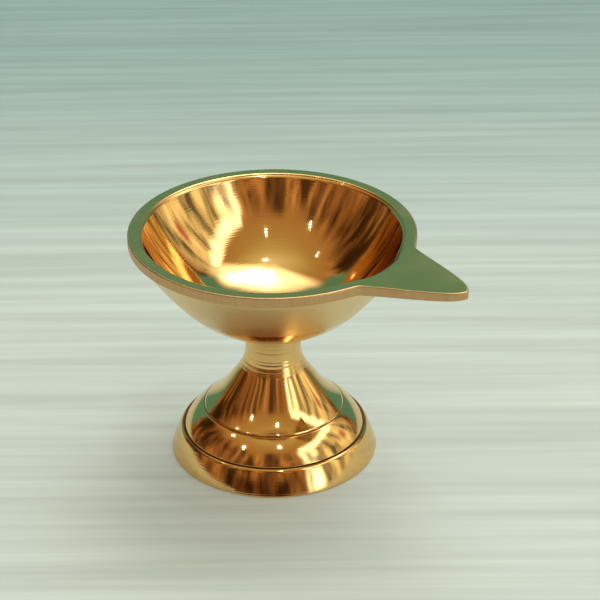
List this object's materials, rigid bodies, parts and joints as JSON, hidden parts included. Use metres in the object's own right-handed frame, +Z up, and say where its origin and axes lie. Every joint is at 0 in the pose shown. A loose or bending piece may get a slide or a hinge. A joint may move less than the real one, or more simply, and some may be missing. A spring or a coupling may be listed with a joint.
{
  "type": "oil lamp",
  "caption": "Small polished brass oil lamp: a round bowl with a flat rim and a pointed wick spout, clamped on a hollow flared pedestal.",
  "frame": {"origin": "on the standing plane, under the middle of the whole outline; the lamp's own axis stands 7.5 mm towards -X from it", "axes": "+X along the spout, +Z up along the lamp's axis"},
  "size_m": [0.067, 0.052, 0.0449],
  "materials": {
    "polished_brass": "turned and mirror polished, fine concentric tool marks",
    "zinc_steel": "zinc plated, satin"
  },
  "bodies": {
    "pedestal": {"pedestal": "polished_brass"},
    "bowl": {"oil_bowl": "polished_brass", "clamping_stud": "zinc_steel"},
    "washer": {"washer": "zinc_steel"},
    "nut": {"clamp_nut": "zinc_steel"}
  },
  "joints": [
    {"name": "bowl_turn", "type": "hinge", "parent": "pedestal", "child": "bowl", "pos_m": [-0.0075, 0, 0.0241], "axis": [0, 0, 1], "continuous": true},
    {"name": "washer_drop", "type": "slide", "parent": "bowl", "child": "washer", "axis": [0, 0, -1], "range_m": [0, 0.0036]},
    {"name": "nut_turn", "type": "hinge", "parent": "washer", "child": "nut", "pos_m": [-0.0075, 0, 0.0123], "axis": [0, 0, -1], "range_deg": [0, 1620]}
  ],
  "couplings": [
    {"joint": "nut_turn", "follows": "washer_drop", "rad_per_m": 7854}
  ]
}
